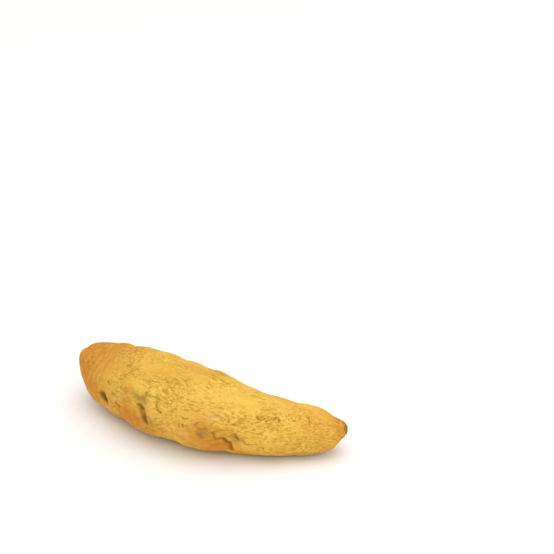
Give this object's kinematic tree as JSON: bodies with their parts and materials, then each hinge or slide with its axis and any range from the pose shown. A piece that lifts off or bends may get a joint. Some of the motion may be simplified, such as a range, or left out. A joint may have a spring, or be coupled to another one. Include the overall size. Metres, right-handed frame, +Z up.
{
  "type": "turmeric root",
  "caption": "Dried finger of turmeric root, bowed and tapering from a blunt growing tip to a snapped narrow end, with wrinkled skin, pits and broken-shoot scars.",
  "frame": {"origin": "middle of the footprint on the surface the root lies on", "axes": "+Z up, the long axis along X with the blunt growing tip at -X and the snapped narrow end at +X, and the bow's outer side towards -Y"},
  "size_m": [0.0652, 0.0248, 0.018],
  "materials": {
    "dried_rind": "matte powdery golden-yellow dried rind, orange in the scars and grey-brown in the pits"
  },
  "bodies": {
    "root": {"turmeric_root": "dried_rind"}
  },
  "joints": []
}
